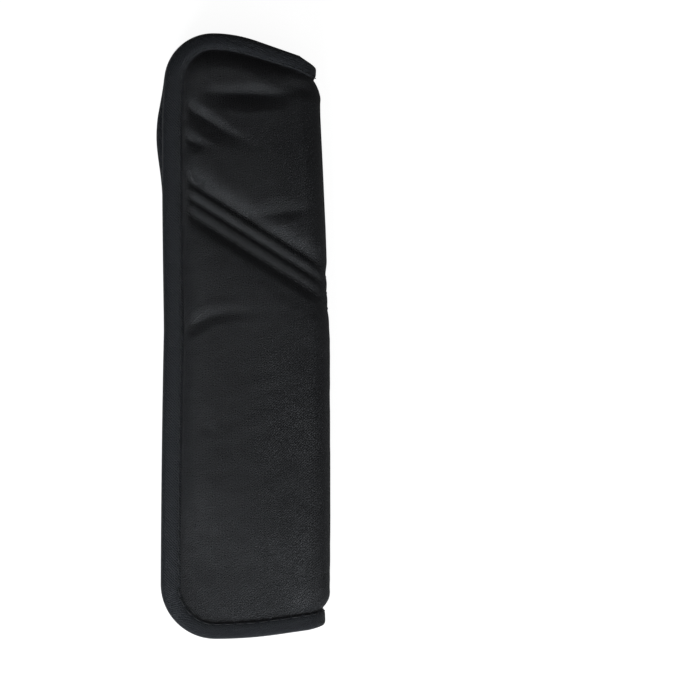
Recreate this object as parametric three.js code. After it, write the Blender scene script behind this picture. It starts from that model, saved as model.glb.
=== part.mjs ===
import * as THREE from "three";

// Seat belt shoulder pad: a padded panel folded lengthwise round the webbing and closed by hook and loop.
// Millimetres, +Z up. The pad lies on its back half, the fold on the +X side and the long way along Y.
// The panel is worked out flat and then folded: "across" runs from the front free edge (minus) over the
// fold (0) to the back free edge (plus), "along" is Y, and "height" is counted from the lining's face.

// Outline of the panel, out to the edge of the binding
const topEdge = 123.8;
const bottomEdge = -124.1;
const halfWidthTop = 68.4;
const halfWidthBottom = 73.6;
const halfWidthMiddle = 73;
const widestAlong = 30;
const topCornerRadius = 20;
const bottomCornerRadius = 22.5;
const topSlope = 0.35;
const topFoldDrop = 4.2;
const topFoldReach = 13;
const topFoldTurn = 3.5;
const topBlend = 9;
const bottomSlope = 0.145;
const bottomBlend = 13;

// Fold and the closed gap between the halves
const foldReach = 13;
const foldAxisAcross = 26.4;
const foldLean = 3.8;
const foldLeanStart = 2;
const foldLeanEnd = 90;
const foldLeanPower = 1.1;
const backSlip = 2.6;
const backSlipAlong = 82;
const backSlipAbove = 17;
const backSlipBelow = 16;
const backSlipReach = 40;

// Layers, from the inside out
const clearance = 0.3;
const liningThickness = 0.5;
const coverThickness = 0.6;
const tapeThickness = 0.7;
const edgeLoft = 0.8;
const foldLoft = 3.7;
const panelLoft = 6.4;
const edgeRise = 20;
const topRise = 8;
const foldEdgeRise = 8;
const edgePower = 2.6;
const foldRise = 26;
const bottomRise = 42;
const bottomPower = 1.25;
const bottomShare = 1.6;

// Edge binding and its stitching
const bindingWidth = 8;
const bindingCrest = 0.6;
const bindingRound = 1.6;
const bindingShoulder = 0.4;
const endNarrowing = 0.17;
const stitchInset = 8.7;
const threadInset = 7.3;
const threadWidth = 0.6;
const threadLift = 0.5;

// Gathers of the cover along the binding
const gatherPitch = 8;
const gatherHeight = 0.22;
const gatherInset = 1.9;
const gatherReach = 10;
const gatherPower = 2;

// Three quilting seams, side by side and slanting across the whole panel
const seamAlong = 24.2;
const seamSlope = -0.645;
const seamPitch = 5.5;
const seamCount = 3;
const seamDepth = 2.9;
const ribHeight = 1.2;
const upperShoulder = 9;
const upperPower = 1.6;
const lowerShoulder = 15;
const lowerPower = 1.8;
const seamFoldShare = 0.3;
const seamFoldReach = 14;

// Hook and loop strips
const stripWidth = 12;
const stripThickness = 1.8;
const stripInset = 1.5;
const stripTop = 96;
const stripBottom = -96;
const stripCorner = 2.5;

// Creases that the folded front half has, as points of the flat panel, deepest along the middle of each
const creases = [
  { points: [[-52, 98.6], [-34, 98], [-16, 98.2]], depth: 1.6, reach: 6.5 },
  { points: [[-58.5, 93.2], [-49, 87], [-40, 81.8]], depth: 1.6, reach: 5.5 },
  { points: [[-59, 80.4], [-50, 76.2]], depth: 1.2, reach: 4.5 },
  { points: [[-62, 4.2], [-51, 8.8], [-39, 9.4]], depth: 1.1, reach: 5 },
];
const creaseEnd = 0.35;
const creasePower = 1.5;

// Spacing of the points that the layers' surfaces are drawn through
const edgeStep = 6.8;
const cornerStep = 4.6;
const columnStep = 10;
const seamStep = 4.8;
const rowStep = 18;
const foldColumns = 8;
const lineGap = 2;
const seamGap = 1.5;
const gatherGap = 1.4;
const ringGap = 3;
const latticeGap = 4.5;
const foldGap = 1.6;
const rimMargin = 5;

const edgeStack = liningThickness + edgeLoft + coverThickness + 2 * clearance;
const halfGap = clearance / 2 + stripThickness + clearance + tapeThickness + clearance;
const layerInset = tapeThickness + clearance;

function mix(from, to, share) {
  return from + (to - from) * share;
}

function ease(share) {
  const t = THREE.MathUtils.clamp(share, 0, 1);
  return t * t * (3 - 2 * t);
}

// Falls from 1 to nothing as the share goes from 0 to 1, the steeper at first the higher the power
function fall(share, power) {
  return Math.max(0, 1 - share) ** power;
}

// X of the fold's axis, which leans outward from the top down
function foldAxis(along) {
  const share = THREE.MathUtils.clamp((along - foldLeanStart) / (foldLeanEnd - foldLeanStart), 0, 1);
  return foldAxisAcross - foldLean * share ** foldLeanPower;
}

// The back half lies a little out from under the front one
function slip(across, along) {
  const away = along - backSlipAlong;
  const spread = (away / (away > 0 ? backSlipAbove : backSlipBelow)) ** 2;
  return backSlip * Math.exp(-spread) * ease((across - foldReach) / backSlipReach);
}

// A point of the folded panel
function folded(across, along, height) {
  const axis = foldAxis(along);
  const radius = halfGap + height;
  if (across < -foldReach) {
    return new THREE.Vector3(axis + across + foldReach, along, radius);
  }
  if (across > foldReach) {
    return new THREE.Vector3(axis - (across - foldReach) - slip(across, along), along, -radius);
  }
  const turn = (-Math.PI / 2) * (across / foldReach);
  return new THREE.Vector3(axis + radius * Math.cos(turn), along, radius * Math.sin(turn));
}

// Half of the outline, from the fold at the top round the back free edge to the fold at the bottom
function halfOutline() {
  const topRun = halfWidthTop - topCornerRadius;
  const bottomRun = halfWidthBottom - bottomCornerRadius;
  const topStraight = topRun - 2 * topBlend;
  const bottomStraight = bottomRun - 2 * bottomBlend;
  const atTop = topEdge - topSlope * topBlend;
  const atBottom = bottomEdge + bottomSlope * bottomBlend;
  const atFold = atTop - topSlope * (topStraight - topFoldReach);
  const path = new THREE.Path();
  path.moveTo(0, atBottom + bottomSlope * bottomStraight);
  path.lineTo(bottomStraight, atBottom);
  path.quadraticCurveTo(bottomStraight + bottomBlend, bottomEdge, bottomRun, bottomEdge);
  path.absarc(bottomRun, bottomEdge + bottomCornerRadius, bottomCornerRadius, -Math.PI / 2, 0);
  path.quadraticCurveTo(halfWidthMiddle, widestAlong, halfWidthTop, topEdge - topCornerRadius);
  path.absarc(topRun, topEdge - topCornerRadius, topCornerRadius, 0, Math.PI / 2);
  path.quadraticCurveTo(topStraight + topBlend, topEdge, topStraight, atTop);
  path.lineTo(topFoldReach, atFold);
  path.quadraticCurveTo(topFoldTurn, atFold - topFoldDrop, 0, atFold - topFoldDrop);
  return path;
}

// Points along a path, each curve cut into equal steps and finer round corners and over the fold
function sampled(path, step, roundStep) {
  const points = [];
  for (const curve of path.curves) {
    let run = step;
    if (curve.isEllipseCurve) {
      run = roundStep;
    } else if (curve.isLineCurve) {
      run = foldReach / 4;
    } else if (curve.getPoint(1).x < foldReach) {
      run = foldReach / 8;
    }
    const count = Math.ceil(curve.getLength() / run);
    for (let i = 0; i < count; i += 1) {
      points.push(curve.getPointAt(i / count));
    }
  }
  return points;
}

// The whole outline of the flat panel, counterclockwise, with each point's inward direction
function outline(step, roundStep) {
  const half = sampled(halfOutline(), step, roundStep);
  const topMiddle = new THREE.Vector2(0, halfOutline().getPoint(1).y);
  const mirrored = half.slice(1).reverse().map((p) => new THREE.Vector2(-p.x, p.y));
  const points = [...half, topMiddle, ...mirrored];
  return points.map((point, i) => {
    const before = points[(i + points.length - 1) % points.length];
    const after = points[(i + 1) % points.length];
    const run = after.clone().sub(before).normalize();
    return { point, inward: new THREE.Vector2(-run.y, run.x) };
  });
}

const edge = outline(edgeStep, cornerStep);

// The binding is drawn in a little narrower at the two ends than along the sides
function narrowing(sideways) {
  return 1 - endNarrowing * (1 - sideways ** 2);
}

function moved({ point, inward }, distance) {
  return point.clone().addScaledVector(inward, distance * narrowing(inward.x));
}

function inset(distance, from = edge) {
  return from.map((place) => moved(place, distance));
}

// How far a point lies from a line through points, how far along that line its foot is, and how much of
// the line's own direction there goes across
function nearest(points, across, along, isClosed) {
  let best = { distance: Infinity, run: 0, upright: 0 };
  let passed = 0;
  const last = isClosed ? points.length : points.length - 1;
  for (let i = 0; i < last; i += 1) {
    const a = points[i];
    const b = points[(i + 1) % points.length];
    const dx = b.x - a.x;
    const dy = b.y - a.y;
    const size = Math.hypot(dx, dy);
    const share = THREE.MathUtils.clamp(((across - a.x) * dx + (along - a.y) * dy) / (size * size), 0, 1);
    const distance = Math.hypot(across - a.x - share * dx, along - a.y - share * dy);
    if (distance < best.distance) {
      best = { distance, run: passed + share * size, upright: dy / size };
    }
    passed += size;
  }
  return { ...best, total: passed };
}

const edgePoints = edge.map(({ point }) => point);

function isInside(polygon, across, along) {
  let inside = false;
  polygon.forEach((a, i) => {
    const b = polygon[(i + 1) % polygon.length];
    if (a.y > along !== b.y > along && across < a.x + ((along - a.y) * (b.x - a.x)) / (b.y - a.y)) {
      inside = !inside;
    }
  });
  return inside;
}

// Seams: the line of the first one, and how far above it a point lies
const seamTilt = Math.atan(seamSlope);

function seamLine(across, place) {
  return seamAlong + seamSlope * across + place / Math.cos(seamTilt);
}

function aboveSeam(across, along) {
  return (along - seamAlong - seamSlope * across) * Math.cos(seamTilt);
}

// The seams draw the padding in less where it turns over the fold
function seamShare(across) {
  return mix(seamFoldShare, 1, ease(Math.abs(across) / seamFoldReach));
}

function seamDrop(across, along) {
  const above = aboveSeam(across, along);
  const lastSeam = -(seamCount - 1) * seamPitch;
  if (above > 0) {
    return seamShare(across) * seamDepth * fall(above / upperShoulder, upperPower);
  }
  if (above < lastSeam) {
    return seamShare(across) * seamDepth * fall((lastSeam - above) / lowerShoulder, lowerPower);
  }
  return seamShare(across) * (seamDepth - ribHeight * Math.abs(Math.sin((Math.PI * above) / seamPitch)));
}

const creaseLines = creases.map(({ points, depth, reach }) => ({
  points: points.map(([x, y]) => new THREE.Vector2(x, y)),
  depth,
  reach,
}));

function creaseDrop(across, along) {
  let drop = 0;
  for (const { points, depth, reach } of creaseLines) {
    const { distance, run, total } = nearest(points, across, along, false);
    const fade = mix(creaseEnd, 1, Math.sin((Math.PI * run) / total));
    drop += depth * fade * fall(distance / reach, creasePower);
  }
  return drop;
}

// Thickness of the foam at a point of the panel, squeezed at the binding, the seams and the fold
function loft(across, along) {
  const { distance, run, upright } = nearest(edgePoints, across, along, true);
  const inside = distance - stitchInset * narrowing(upright);
  if (inside <= 0.01) {
    return edgeLoft;
  }
  const flat = ease(Math.abs(across) / foldRise);
  const sideRise = along > 0 ? mix(topRise, edgeRise, upright ** 2) : edgeRise;
  const steep = 1 - fall(inside / mix(foldEdgeRise, sideRise, flat), edgePower);
  const gentle = 1 - fall(inside / bottomRise, bottomPower);
  const rise = mix(steep, gentle, flat * ease(bottomShare - (along - bottomEdge) / bottomRise));
  const open = mix(foldLoft, panelLoft, flat);
  const gather = gatherHeight * Math.cos((2 * Math.PI * run) / gatherPitch);
  const pucker = gather * fall(inside / gatherReach, gatherPower) * Math.min(1, inside);
  const drop = (seamDrop(across, along) + creaseDrop(across, along)) * rise;
  return Math.max(edgeLoft, mix(edgeLoft, open, rise) - drop + pucker);
}

function coverTop(across, along) {
  return liningThickness + clearance + loft(across, along) + clearance + coverThickness;
}

// Delaunay triangles over flat points, each turned counterclockwise
function triangulate(points) {
  const far = 1e4;
  const all = [...points, new THREE.Vector2(-far, -far), new THREE.Vector2(far, -far), new THREE.Vector2(0, far)];
  const circled = (a, b, c) => {
    const [p, q, r] = [all[a], all[b], all[c]];
    const twice = 2 * (p.x * (q.y - r.y) + q.x * (r.y - p.y) + r.x * (p.y - q.y));
    const [pp, qq, rr] = [p.lengthSq(), q.lengthSq(), r.lengthSq()];
    const x = (pp * (q.y - r.y) + qq * (r.y - p.y) + rr * (p.y - q.y)) / twice;
    const y = (pp * (r.x - q.x) + qq * (p.x - r.x) + rr * (q.x - p.x)) / twice;
    return { corners: [a, b, c], x, y, reach: Math.hypot(p.x - x, p.y - y) };
  };
  let triangles = [circled(points.length, points.length + 1, points.length + 2)];
  points.forEach((point, index) => {
    const open = new Map();
    const kept = [];
    for (const triangle of triangles) {
      if (Math.hypot(point.x - triangle.x, point.y - triangle.y) > triangle.reach - 1e-9) {
        kept.push(triangle);
        continue;
      }
      const [a, b, c] = triangle.corners;
      for (const [from, to] of [[a, b], [b, c], [c, a]]) {
        if (!open.delete(`${to},${from}`)) {
          open.set(`${from},${to}`, [from, to]);
        }
      }
    }
    triangles = kept.concat([...open.values()].map(([from, to]) => circled(from, to, index)));
  });
  return triangles.map(({ corners }) => corners).filter((corners) => Math.max(...corners) < points.length);
}

// Drops the triangles that lie outside the panel's own edge, whose points come first in the list
function panelTriangles(points, rim) {
  return triangulate(points).filter((corners) => {
    const across = corners.reduce((sum, i) => sum + points[i].x, 0) / 3;
    const along = corners.reduce((sum, i) => sum + points[i].y, 0) / 3;
    return isInside(rim, across, along);
  });
}

// Columns of points over the whole width: close together round the fold, wider on the halves
function columns(step) {
  const list = [];
  for (let i = 0; i <= foldColumns; i += 1) {
    list.push(foldReach * ((2 * i) / foldColumns - 1));
  }
  for (let across = foldReach + step; across < halfWidthMiddle; across += step) {
    list.push(across, -across);
  }
  return list;
}

// Points that keep clear of those before them by a share of the step on each side
function addApart(list, point, gapAcross, gapAlong) {
  const isFree = list.every(
    (other) => ((other.x - point.x) / gapAcross) ** 2 + ((other.y - point.y) / gapAlong) ** 2 > 1,
  );
  if (isFree) {
    list.push(point);
  }
}

// Points that keep clear of the binding as well
function addOpen(list, point, gapAlong) {
  if (nearest(edgePoints, point.x, point.y, true).distance > stitchInset + lineGap) {
    addApart(list, point, lineGap, gapAlong);
  }
}

const rim = inset(layerInset);

// The points that the cover's surfaces go through: binding, gathers, seams, ribs, creases, then open cloth
function finePoints() {
  const points = [...rim, ...inset(stitchInset)];
  const lastSeam = -(seamCount - 1) * seamPitch;
  const places = [upperShoulder, upperShoulder * 0.4];
  for (let i = 0; i < 2 * seamCount - 1; i += 1) {
    places.push((-i * seamPitch) / 2);
  }
  places.push(lastSeam - lowerShoulder * 0.3, lastSeam - lowerShoulder * 0.7);
  for (const across of columns(seamStep)) {
    for (const place of places) {
      addOpen(points, new THREE.Vector2(across, seamLine(across, place)), seamGap);
    }
  }
  const gatherRing = inset(stitchInset + gatherInset, outline(gatherPitch / 2, gatherPitch / 2));
  gatherRing.forEach((point) => addApart(points, point, gatherGap, gatherGap));
  inset(stitchInset + 3 * gatherInset, outline(edgeStep, edgeStep)).forEach((point) => {
    addApart(points, point, ringGap, ringGap);
  });
  for (const { points: line, reach } of creaseLines) {
    for (let i = 0; i < line.length - 1; i += 1) {
      const run = line[i + 1].clone().sub(line[i]);
      const sideways = new THREE.Vector2(-run.y, run.x).normalize();
      for (const share of [0, 0.5, 1]) {
        for (const side of [0, -0.5, 0.5, -1, 1]) {
          const point = line[i].clone().addScaledVector(run, share).addScaledVector(sideways, side * reach);
          addOpen(points, point, lineGap);
        }
      }
    }
  }
  return addLattice(points, rowStep);
}

// The points of the plain surfaces next to the lining: the rim and the turn of the fold
function plainPoints() {
  return addLattice([...rim], 3 * rowStep);
}

function addLattice(points, step) {
  for (const across of columns(columnStep)) {
    for (let along = bottomEdge; along < topEdge; along += step) {
      const isFlat = Math.abs(across) > foldReach;
      const { distance } = nearest(edgePoints, across, along, true);
      if (distance > rimMargin && isInside(edgePoints, across, along)) {
        addApart(points, new THREE.Vector2(across, along), isFlat ? latticeGap : foldGap, latticeGap);
      }
    }
  }
  return points;
}

function surface(points) {
  return { points, triangles: panelTriangles(points, rim) };
}

const fine = surface(finePoints());
const plain = surface(plainPoints());

function meshOf(name, vertices, triangles, look) {
  const geometry = new THREE.BufferGeometry();
  geometry.setAttribute("position", new THREE.Float32BufferAttribute(vertices.flatMap((v) => [v.x, v.y, v.z]), 3));
  geometry.setIndex(triangles.flat());
  geometry.computeVertexNormals();
  const mesh = new THREE.Mesh(geometry, new THREE.MeshStandardMaterial({ metalness: 0, ...look }));
  mesh.name = name;
  return mesh;
}

// One layer of the panel: an outer and an inner surface over the same rim
function layer(name, outer, outerHeight, inner, innerHeight, look) {
  const lift = (list, height) => list.map((p) => folded(p.x, p.y, height(p.x, p.y)));
  const vertices = [...lift(outer.points, outerHeight), ...lift(inner.points, innerHeight)];
  const below = outer.points.length;
  const triangles = outer.triangles.map((corners) => [...corners]);
  for (const [a, b, c] of inner.triangles) {
    triangles.push([below + a, below + c, below + b]);
  }
  for (let i = 0; i < rim.length; i += 1) {
    const next = (i + 1) % rim.length;
    triangles.push([below + i, below + next, next], [below + i, next, i]);
  }
  return meshOf(name, vertices, triangles, look);
}

// A section of [inset, height] points carried all round the panel's edge
function edgeSweep(name, section, look) {
  const vertices = edge.flatMap((place) =>
    section.map(([distance, height]) => {
      const at = moved(place, distance);
      return folded(at.x, at.y, height);
    }),
  );
  const count = section.length;
  const triangles = [];
  for (let i = 0; i < edge.length; i += 1) {
    const here = i * count;
    const there = ((i + 1) % edge.length) * count;
    for (let k = 0; k < count; k += 1) {
      const next = (k + 1) % count;
      triangles.push([here + k, there + k, there + next], [here + k, there + next, here + next]);
    }
  }
  return meshOf(name, vertices, triangles, look);
}

// Tape folded over the edge of all layers, with a soft round back
function bindingSection() {
  const top = edgeStack + clearance + tapeThickness;
  const bottom = -clearance - tapeThickness;
  const middle = edgeStack / 2;
  return [
    [bindingWidth, top],
    [bindingWidth, edgeStack + clearance],
    [tapeThickness, edgeStack + clearance],
    [tapeThickness, -clearance],
    [bindingWidth, -clearance],
    [bindingWidth, bottom],
    [bindingRound, bottom],
    [bindingShoulder, -clearance],
    [0, middle],
    [bindingShoulder, edgeStack],
    [bindingRound, top + bindingCrest / 2],
    [bindingWidth / 2, top + bindingCrest],
  ];
}

function threadSection(center, height) {
  return [
    [center, height + threadWidth],
    [center + threadWidth / 2, height],
    [center - threadWidth / 2, height],
  ];
}

// A thread laid along one seam, over the whole panel
function seamThread(name, place, look) {
  const stops = columns(seamStep)
    .sort((a, b) => a - b)
    .filter((across) => {
      return nearest(edgePoints, across, seamLine(across, place), true).distance > stitchInset + gatherPitch / 2;
    });
  const vertices = stops.flatMap((across) => {
    const along = seamLine(across, place);
    const height = coverTop(across, along) + threadLift;
    return [
      folded(across, along, height + threadWidth),
      folded(across, along - threadWidth / 2, height),
      folded(across, along + threadWidth / 2, height),
    ];
  });
  const triangles = [[0, 2, 1]];
  for (let i = 0; i < stops.length - 1; i += 1) {
    for (let k = 0; k < 3; k += 1) {
      const next = (k + 1) % 3;
      const here = 3 * i;
      triangles.push([here + k, here + next, here + 3 + next], [here + k, here + 3 + next, here + 3 + k]);
    }
  }
  const end = 3 * (stops.length - 1);
  triangles.push([end, end + 1, end + 2]);
  return meshOf(name, vertices, triangles, look);
}

// One half of the closure, sewn along a free edge over the binding and facing the other half
function strip(name, side, look) {
  const left = foldAxis(stripTop) + foldReach - halfWidthTop + stripInset;
  const right = left + stripWidth;
  const shape = new THREE.Shape();
  shape.moveTo(left + stripCorner, stripBottom);
  shape.lineTo(right - stripCorner, stripBottom);
  shape.lineTo(right, stripBottom + stripCorner);
  shape.lineTo(right, stripTop - stripCorner);
  shape.lineTo(right - stripCorner, stripTop);
  shape.lineTo(left + stripCorner, stripTop);
  shape.lineTo(left, stripTop - stripCorner);
  shape.lineTo(left, stripBottom + stripCorner);
  shape.closePath();
  const geometry = new THREE.ExtrudeGeometry(shape, { depth: stripThickness, bevelEnabled: false });
  const mesh = new THREE.Mesh(geometry, new THREE.MeshStandardMaterial({ metalness: 0, ...look }));
  mesh.position.z = side > 0 ? clearance / 2 : -clearance / 2 - stripThickness;
  mesh.name = name;
  return mesh;
}

const satin = { color: 0x1e2024, roughness: 0.55 };
const lining = { color: 0x18191b, roughness: 0.8 };
const foam = { color: 0x6d6f72, roughness: 0.95 };
const tape = { color: 0x202428, roughness: 0.6 };
const thread = { color: 0x2a2c30, roughness: 0.7 };
const closure = { color: 0x141517, roughness: 0.9 };

const foamTop = (across, along) => liningThickness + clearance + loft(across, along);
const coverInside = (across, along) => coverTop(across, along) - coverThickness;
const tapeTop = edgeStack + clearance + tapeThickness;

const pad = new THREE.Group();
pad.add(layer("outer_cover", fine, coverTop, fine, coverInside, satin));
pad.add(layer("foam_pad", fine, foamTop, plain, () => liningThickness + clearance, foam));
pad.add(layer("lining", plain, () => liningThickness, plain, () => 0, lining));
pad.add(edgeSweep("edge_binding", bindingSection(), tape));
pad.add(edgeSweep("binding_stitching", threadSection(threadInset, tapeTop + threadLift), thread));
pad.add(strip("hook_strip", 1, closure));
pad.add(strip("loop_strip", -1, closure));
for (let i = 0; i < seamCount; i += 1) {
  pad.add(seamThread(`seam_thread_${i + 1}`, -i * seamPitch, thread));
}

// The pad's frame: the middle of its box in X and Y, and the underside that it lies on
const box = new THREE.Box3().setFromObject(pad, true);
const middle = box.getCenter(new THREE.Vector3());
pad.position.set(-middle.x, -middle.y, -box.min.z);

export default pad;
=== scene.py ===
import math

import bmesh
import bpy
import numpy as np
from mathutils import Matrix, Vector, noise


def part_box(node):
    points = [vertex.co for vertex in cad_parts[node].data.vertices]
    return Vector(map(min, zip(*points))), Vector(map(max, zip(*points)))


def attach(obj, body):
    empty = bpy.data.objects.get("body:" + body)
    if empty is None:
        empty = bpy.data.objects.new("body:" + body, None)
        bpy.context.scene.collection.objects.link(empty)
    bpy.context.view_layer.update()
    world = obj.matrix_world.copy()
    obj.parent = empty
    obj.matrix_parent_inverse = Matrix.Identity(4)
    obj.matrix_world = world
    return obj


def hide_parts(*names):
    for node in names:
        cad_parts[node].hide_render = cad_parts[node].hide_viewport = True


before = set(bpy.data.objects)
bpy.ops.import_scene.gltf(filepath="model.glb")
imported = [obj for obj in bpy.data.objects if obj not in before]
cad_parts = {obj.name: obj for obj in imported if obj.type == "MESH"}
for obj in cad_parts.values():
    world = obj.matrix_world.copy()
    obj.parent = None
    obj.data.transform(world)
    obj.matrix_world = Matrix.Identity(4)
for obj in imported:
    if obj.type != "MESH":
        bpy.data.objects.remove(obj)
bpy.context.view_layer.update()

print("frame loaded:", len(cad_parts), "nodes")

mm = 0.001

# The flat panel and its fold, in millimetres. "across" is minus on the front half, 0 at the fold and
# plus on the back half, "along" is Y, and heights are counted from the lining's inner face.
panel = {
    "topEdge": 123.8,
    "bottomEdge": -124.1,
    "halfWidthTop": 68.4,
    "halfWidthBottom": 73.6,
    "halfWidthMiddle": 73.0,
    "widestAlong": 30.0,
    "topCorner": 20.0,
    "bottomCorner": 22.5,
    "topSlope": 0.35,
    "topBlend": 9.0,
    "topFoldDrop": 4.2,
    "topFoldReach": 13.0,
    "topFoldTurn": 3.5,
    "bottomSlope": 0.145,
    "bottomBlend": 13.0,
    "foldReach": 13.0,
    "foldAxis": 26.4,
    "foldLean": 3.8,
    "leanStart": 2.0,
    "leanEnd": 90.0,
    "leanPower": 1.1,
    "backSlip": 2.6,
    "backSlipAlong": 82.0,
    "backSlipAbove": 17.0,
    "backSlipBelow": 16.0,
    "backSlipReach": 40.0,
    "clearance": 0.3,
    "lining": 0.5,
    "cover": 0.6,
    "tape": 0.7,
    "edgeLoft": 0.8,
    "foldLoft": 3.7,
    "panelLoft": 6.4,
    "edgeRise": 16.0,
    "topRise": 7.5,
    "foldEdgeRise": 8.0,
    "edgePower": 2.6,
    "topPower": 1.7,
    "cutRise": 4.5,
    "foldRise": 26.0,
    "bottomRise": 42.0,
    "bottomPower": 1.25,
    "bottomShare": 1.6,
    "hipReach": 7.0,
    "stitchInset": 8.7,
    "endNarrowing": 0.17,
    "foldNarrowing": 0.2,
    "foldNarrowReach": 42.0,
}

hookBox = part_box("hook_strip")
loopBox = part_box("loop_strip")
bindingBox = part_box("edge_binding")

# Half the gap between the two linings, which holds a strip, the tape and two and a half clearances,
# and where the panel's own zero lies in the frame
stripThickness = (hookBox[1][2] - hookBox[0][2]) / mm
halfGap = panel["clearance"] * 2.5 + stripThickness + panel["tape"]
middleZ = (hookBox[0][2] + loopBox[1][2]) / 2 / mm
middleY = ((bindingBox[0][1] + bindingBox[1][1]) / mm - panel["topEdge"] - panel["bottomEdge"]) / 2
edgeStack = panel["lining"] + panel["edgeLoft"] + panel["cover"] + 2 * panel["clearance"]


def ease(share):
    t = np.clip(share, 0, 1)
    return t * t * (3 - 2 * t)


def fall(share, power):
    return np.maximum(0, 1 - share) ** power


def foldAxis(along):
    share = np.clip((along - panel["leanStart"]) / (panel["leanEnd"] - panel["leanStart"]), 0, 1)
    return panel["foldAxis"] - panel["foldLean"] * share ** panel["leanPower"]


# The hook strip's side in the frame gives the panel's zero in X
stripInset = 1.5
stripTop = 96.0
firstX = foldAxis(stripTop) + panel["foldReach"] - panel["halfWidthTop"] + stripInset
middleX = hookBox[0][0] / mm - firstX


# Points of the folded panel in metres
def folded(across, along, height):
    across, along, height = np.broadcast_arrays(*(np.asarray(v, float) for v in (across, along, height)))
    reach = panel["foldReach"]
    axis = foldAxis(along)
    radius = halfGap + height
    turn = -math.pi / 2 * np.clip(across / reach, -1, 1)
    past = np.maximum(np.abs(across) - reach, 0)
    away = along - panel["backSlipAlong"]
    spread = (away / np.where(away > 0, panel["backSlipAbove"], panel["backSlipBelow"])) ** 2
    slip = panel["backSlip"] * np.exp(-spread) * ease((across - reach) / panel["backSlipReach"])
    x = axis + radius * np.cos(turn) - past - slip
    z = radius * np.sin(turn)
    return np.stack([x + middleX, along + middleY, z + middleZ], -1) * mm


# Outline of the flat panel from the fold at the bottom round the free edge to the fold at the top
def outlineHalf(step):
    p = panel
    topRun = p["halfWidthTop"] - p["topCorner"]
    bottomRun = p["halfWidthBottom"] - p["bottomCorner"]
    bottomStart = bottomRun - 2 * p["bottomBlend"]
    topStart = topRun - 2 * p["topBlend"]
    atBottom = p["bottomEdge"] + p["bottomSlope"] * p["bottomBlend"]
    atTop = p["topEdge"] - p["topSlope"] * p["topBlend"]
    atFold = atTop - p["topSlope"] * (topStart - p["topFoldReach"])
    highFold = (0, atFold - p["topFoldDrop"])

    def line(a, b):
        t = np.linspace(0, 1, max(2, round(math.dist(a, b) / step)), endpoint=False)[:, None]
        return np.array(a) * (1 - t) + np.array(b) * t

    def bend(a, b, c):
        t = np.linspace(0, 1, max(3, round(math.dist(a, c) / step)), endpoint=False)[:, None]
        return np.array(a) * (1 - t) ** 2 + 2 * np.array(b) * t * (1 - t) + np.array(c) * t * t

    def corner(center, radius, start):
        t = np.linspace(0, math.pi / 2, max(4, round(radius * math.pi / 2 / step)), endpoint=False) + start
        return np.stack([center[0] + radius * np.cos(t), center[1] + radius * np.sin(t)], -1)

    lowCorner = (bottomRun, p["bottomEdge"] + p["bottomCorner"])
    highCorner = (topRun, p["topEdge"] - p["topCorner"])
    return np.concatenate([
        line((0, atBottom + p["bottomSlope"] * bottomStart), (bottomStart, atBottom)),
        bend((bottomStart, atBottom), (bottomStart + p["bottomBlend"], p["bottomEdge"]),
             (bottomRun, p["bottomEdge"])),
        corner(lowCorner, p["bottomCorner"], -math.pi / 2),
        bend((p["halfWidthBottom"], lowCorner[1]), (p["halfWidthMiddle"], p["widestAlong"]),
             (p["halfWidthTop"], highCorner[1])),
        corner(highCorner, p["topCorner"], 0),
        bend((topRun, p["topEdge"]), (topStart + p["topBlend"], p["topEdge"]), (topStart, atTop)),
        line((topStart, atTop), (p["topFoldReach"], atFold)),
        bend((p["topFoldReach"], atFold), (p["topFoldTurn"], highFold[1]), highFold),
        [highFold],
    ])


# The binding is drawn in narrower at the two ends than along the sides, most at the top of the fold
def narrowing(sideways, points):
    near = ease(1 - np.abs(points[..., 0]) / panel["foldNarrowReach"]) * (points[..., 1] > 0)
    return endNarrowing(sideways) * (1 - panel["foldNarrowing"] * near)


def endNarrowing(sideways):
    return 1 - panel["endNarrowing"] * (1 - sideways ** 2)


# Closed outline, counterclockwise, with inward directions and the run along it
def outline(step):
    half = outlineHalf(step)
    mirrored = half[1:-1][::-1] * [-1, 1]
    points = np.concatenate([half, mirrored])
    ahead = np.roll(points, -1, 0) - np.roll(points, 1, 0)
    ahead /= np.linalg.norm(ahead, axis=1)[:, None]
    inward = np.stack([-ahead[:, 1], ahead[:, 0]], -1)
    steps = np.linalg.norm(np.roll(points, -1, 0) - points, axis=1)
    run = np.concatenate([[0], np.cumsum(steps)[:-1]])
    return points, inward, run


edgeStep = 1.2
fieldBatch = 4000
edgePoints, edgeInward, edgeRun = outline(edgeStep)


# Distance inside the outline, run of the foot along it, and the binding's narrowing there
def edgeField(across, along):
    flat = np.stack([np.ravel(across), np.ravel(along)], -1)
    a = edgePoints
    d = np.roll(edgePoints, -1, 0) - a
    size = (d * d).sum(1)
    found = np.empty((3, len(flat)))
    for start in range(0, len(flat), fieldBatch):
        stop = start + fieldBatch
        q = flat[start:stop, None] - a[None]
        t = np.clip((q * d).sum(2) / size, 0, 1)
        gap = q - t[..., None] * d
        far = (gap * gap).sum(2)
        best = far.argmin(1)
        rows = np.arange(len(best))
        side = (gap[rows, best] * edgeInward[best]).sum(1)
        found[0, start:stop] = np.sqrt(far[rows, best]) * np.where(side < 0, -1, 1)
        found[1, start:stop] = edgeRun[best] + t[rows, best] * np.sqrt(size[best])
        found[2, start:stop] = narrowing(edgeInward[best, 0], edgePoints[best])
    return [part.reshape(np.shape(across)) for part in found]


# Soft noise from -1 to 1 over the flat panel
def smoothNoise(across, along, scale, seed):
    x, y = np.ravel(across) / scale, np.ravel(along) / scale
    values = [noise.noise(Vector((a, b, seed))) for a, b in zip(x, y)]
    return np.array(values).reshape(np.shape(across))


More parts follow.
